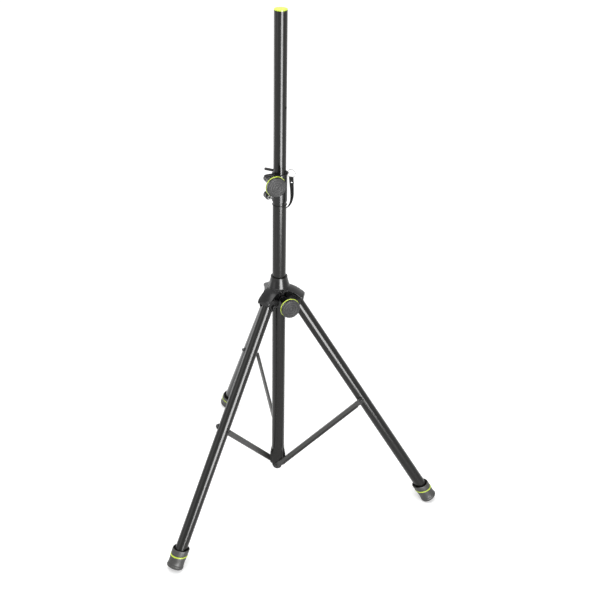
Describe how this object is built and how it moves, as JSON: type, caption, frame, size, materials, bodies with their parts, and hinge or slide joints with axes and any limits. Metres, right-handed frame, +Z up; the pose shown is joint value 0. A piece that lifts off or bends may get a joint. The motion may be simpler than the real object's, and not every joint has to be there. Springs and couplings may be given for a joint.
{
  "type": "speaker stand",
  "caption": "Folding tripod stand for a loudspeaker: clamped telescoping pole with a tethered safety pin, sliding hub with a knob, tubular legs with rubber feet and braces.",
  "frame": {"origin": "on the mast's axis at floor level", "axes": "+Z up along the mast; +X towards leg 1, with legs 2 and 3 at 120 and 240 degrees round +Z"},
  "size_m": [0.7625, 0.873, 1.516],
  "materials": {
    "tube": "satin black powder coat",
    "plastic": "moulded black nylon",
    "liner": "dark sliding bush",
    "rubber": "dark grey rubber",
    "lime": "lime green",
    "knob_grey": "satin grey",
    "brace_steel": "dark grey paint",
    "fixings": "blackened and zinc plated steel",
    "ring_steel": "bright",
    "webbing": "woven nylon webbing"
  },
  "bodies": {
    "mast": {"lower_tube": "tube", "clamp_collar": "plastic", "clamp_bushing": "liner", "clamp_bolt": "fixings", "clamp_nuts": "fixings", "tether_loop": "plastic", "tether_strap": "webbing"},
    "pole": {"upper_tube": "tube", "top_cap": "lime", "pole_guide": "plastic"},
    "clamp_knob": {"clamp_knob": "plastic", "clamp_knob_ring": "lime", "clamp_knob_face": "knob_grey", "clamp_knob_stud": "fixings"},
    "safety_pin": {"safety_pin": "plastic", "pin_head": "plastic"},
    "pull_ring": {"split_ring": "ring_steel"},
    "hub": {"hub_casting": "plastic", "hub_liner": "liner", "hub_insert": "fixings", "leg_pivot_bolts": "fixings", "leg_pivot_nuts": "fixings"},
    "hub_knob": {"hub_knob": "plastic", "hub_knob_ring": "lime", "hub_knob_face": "knob_grey", "hub_knob_stud": "fixings"},
    "leg_1": {"leg_tube_1": "tube", "leg_plug_1": "plastic", "foot_1": "rubber", "foot_ring_1": "lime", "brace_bolt_1": "fixings", "brace_spacer_1": "plastic", "brace_nut_1": "fixings"},
    "brace_1": {"brace_1": "brace_steel", "brace_end_bolt_1": "fixings"},
    "leg_2": {"leg_tube_2": "tube", "leg_plug_2": "plastic", "foot_2": "rubber", "foot_ring_2": "lime", "brace_bolt_2": "fixings", "brace_spacer_2": "plastic", "brace_nut_2": "fixings"},
    "brace_2": {"brace_2": "brace_steel", "brace_end_bolt_2": "fixings"},
    "leg_3": {"leg_tube_3": "tube", "leg_plug_3": "plastic", "foot_3": "rubber", "foot_ring_3": "lime", "brace_bolt_3": "fixings", "brace_spacer_3": "plastic", "brace_nut_3": "fixings"},
    "brace_3": {"brace_3": "brace_steel", "brace_end_bolt_3": "fixings"}
  },
  "joints": [
    {"name": "pole_slide", "type": "slide", "parent": "mast", "child": "pole", "axis": [0, 0, 1], "range_m": [0, 0.4]},
    {"name": "clamp_knob_turn", "type": "hinge", "parent": "mast", "child": "clamp_knob", "pos_m": [-0.03031, -0.0175, 1.063], "axis": [0.5, -0.866, 0], "range_deg": [0, 540]},
    {"name": "pin_pull", "type": "slide", "parent": "pole", "child": "safety_pin", "axis": [0.9511, -0.309, 0], "range_m": [0, 0.068]},
    {"name": "ring_swing", "type": "hinge", "parent": "safety_pin", "child": "pull_ring", "pos_m": [0.02111, -0.00686, 1.07845], "axis": [0, 0, 1], "range_deg": [-80, 60]},
    {"name": "hub_slide", "type": "slide", "parent": "mast", "child": "hub", "axis": [0, 0, 1], "range_m": [0, 0.1548]},
    {"name": "hub_knob_turn", "type": "hinge", "parent": "hub", "child": "hub_knob", "pos_m": [0, 0, 0.6979], "axis": [0.5, -0.866, 0], "range_deg": [0, 540]},
    {"name": "leg_1_fold", "type": "hinge", "parent": "hub", "child": "leg_1", "pos_m": [0.0505, 0, 0.6854], "axis": [0, 1, 0], "range_deg": [0, 32.55]},
    {"name": "brace_1_fold", "type": "hinge", "parent": "leg_1", "child": "brace_1", "pos_m": [0.25296, 0, 0.36797], "axis": [0, -1, 0], "range_deg": [0, 67.57]},
    {"name": "leg_2_fold", "type": "hinge", "parent": "hub", "child": "leg_2", "pos_m": [-0.02525, 0.04373, 0.6854], "axis": [-0.866, -0.5, 0], "range_deg": [0, 32.55]},
    {"name": "brace_2_fold", "type": "hinge", "parent": "leg_2", "child": "brace_2", "pos_m": [-0.12648, 0.21907, 0.36797], "axis": [0.866, 0.5, 0], "range_deg": [0, 67.57]},
    {"name": "leg_3_fold", "type": "hinge", "parent": "hub", "child": "leg_3", "pos_m": [-0.02525, -0.04373, 0.6854], "axis": [0.866, -0.5, 0], "range_deg": [0, 32.55]},
    {"name": "brace_3_fold", "type": "hinge", "parent": "leg_3", "child": "brace_3", "pos_m": [-0.12648, -0.21907, 0.36797], "axis": [-0.866, 0.5, 0], "range_deg": [0, 67.57]}
  ],
  "couplings": [
    {"joint": "leg_1_fold", "follows": "hub_slide", "rad_per_m": 3.6673},
    {"joint": "brace_1_fold", "follows": "hub_slide", "rad_per_m": 7.6156},
    {"joint": "leg_2_fold", "follows": "hub_slide", "rad_per_m": 3.6673},
    {"joint": "brace_2_fold", "follows": "hub_slide", "rad_per_m": 7.6156},
    {"joint": "leg_3_fold", "follows": "hub_slide", "rad_per_m": 3.6673},
    {"joint": "brace_3_fold", "follows": "hub_slide", "rad_per_m": 7.6156}
  ]
}
